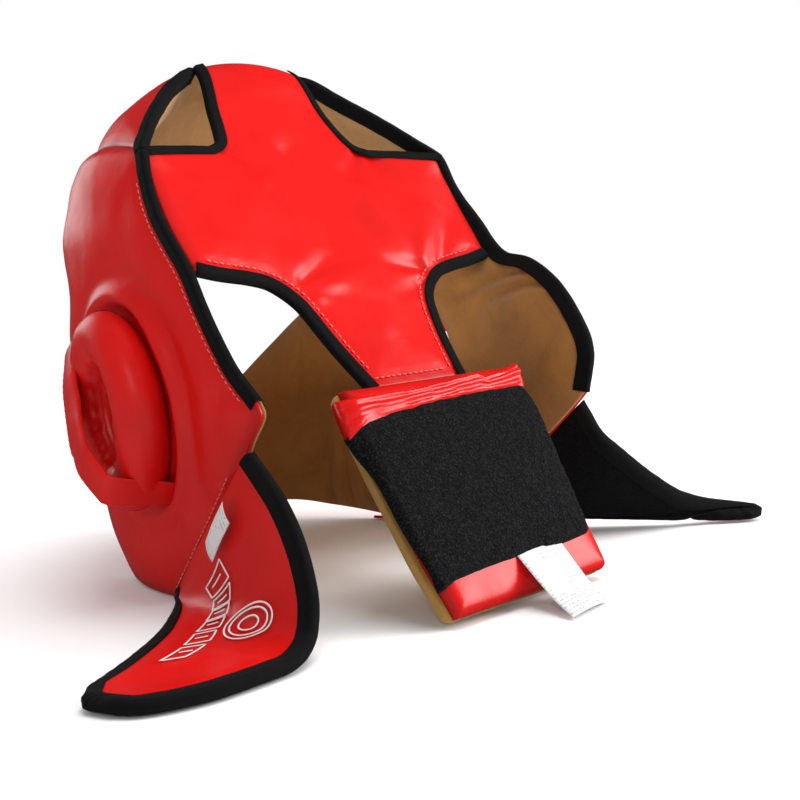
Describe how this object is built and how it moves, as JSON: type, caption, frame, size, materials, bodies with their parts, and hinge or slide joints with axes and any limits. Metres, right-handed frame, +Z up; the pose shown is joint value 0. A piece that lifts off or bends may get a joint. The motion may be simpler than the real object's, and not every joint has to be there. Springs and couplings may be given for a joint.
{
  "type": "boxing headgear",
  "caption": "Padded leather boxing headgear with ear rings, open crown, rear pad and two hook-and-loop closure wings, standing with its closure undone.",
  "frame": {"origin": "middle of the footprint, on the surface that the headgear stands on", "axes": "+Z up, the face looks along -Y, the wearer's left is +X"},
  "size_m": [0.4126, 0.3334, 0.2872],
  "materials": {
    "leather": "satin red coated leather with fine grain",
    "suede": "matt tan suede lining",
    "foam": "closed-cell foam, hidden inside",
    "webbing": "black woven binding tape",
    "loop": "black brushed loop fabric",
    "hook": "black hook-faced fabric",
    "label": "white woven label tape"
  },
  "bodies": {
    "shell": {"crown_cover": "leather", "crown_foam": "foam", "crown_lining": "suede", "forehead_cover": "leather", "forehead_foam": "foam", "forehead_lining": "suede", "left_crown_binding": "webbing", "left_ear_ring": "leather", "left_ear_strap": "leather", "left_hem_tape": "leather", "left_neck_binding": "webbing", "left_rear_binding": "webbing", "left_side_cover": "leather", "left_side_foam": "foam", "left_side_lining": "suede", "left_strap_binding": "webbing", "rear_cover": "leather", "rear_foam": "foam", "rear_lining": "suede", "right_crown_binding": "webbing", "right_ear_ring": "leather", "right_ear_strap": "leather", "right_hem_tape": "leather", "right_neck_binding": "webbing", "right_rear_binding": "webbing", "right_side_cover": "leather", "right_side_foam": "foam", "right_side_lining": "suede", "right_strap_binding": "webbing"},
    "left_wing": {"left_wing_binding": "webbing", "left_wing_core": "foam", "left_wing_cover": "leather", "left_wing_hook_panel": "hook", "side_label": "label"},
    "right_wing": {"right_wing_binding": "webbing", "right_wing_core": "foam", "right_wing_cover": "leather", "right_wing_hook_panel": "hook"},
    "rear_pad": {"rear_loop_patch": "loop", "rear_pad_backing": "suede", "rear_pad_cover": "leather", "rear_pad_flap": "leather", "rear_pad_foam": "foam"},
    "care_label": {"care_label": "label"}
  },
  "joints": [
    {"name": "left_wing_hinge", "type": "hinge", "parent": "shell", "child": "left_wing", "pos_m": [0.1088, 0.0281, 0.0445], "axis": [-0.0088, -0.7159, -0.6982], "range_deg": [0, 60]},
    {"name": "right_wing_hinge", "type": "hinge", "parent": "shell", "child": "right_wing", "pos_m": [-0.0997, 0.0356, 0.044], "axis": [-0.0327, 0.7836, 0.6204], "range_deg": [0, 60]},
    {"name": "rear_pad_hinge", "type": "hinge", "parent": "shell", "child": "rear_pad", "pos_m": [0.0053, 0.0736, 0.105], "axis": [1, 0, 0], "range_deg": [0, 60]},
    {"name": "care_label_hinge", "type": "hinge", "parent": "rear_pad", "child": "care_label", "pos_m": [-0.0127, 0.1396, 0.015], "axis": [1, 0, 0], "range_deg": [0, 50]}
  ]
}
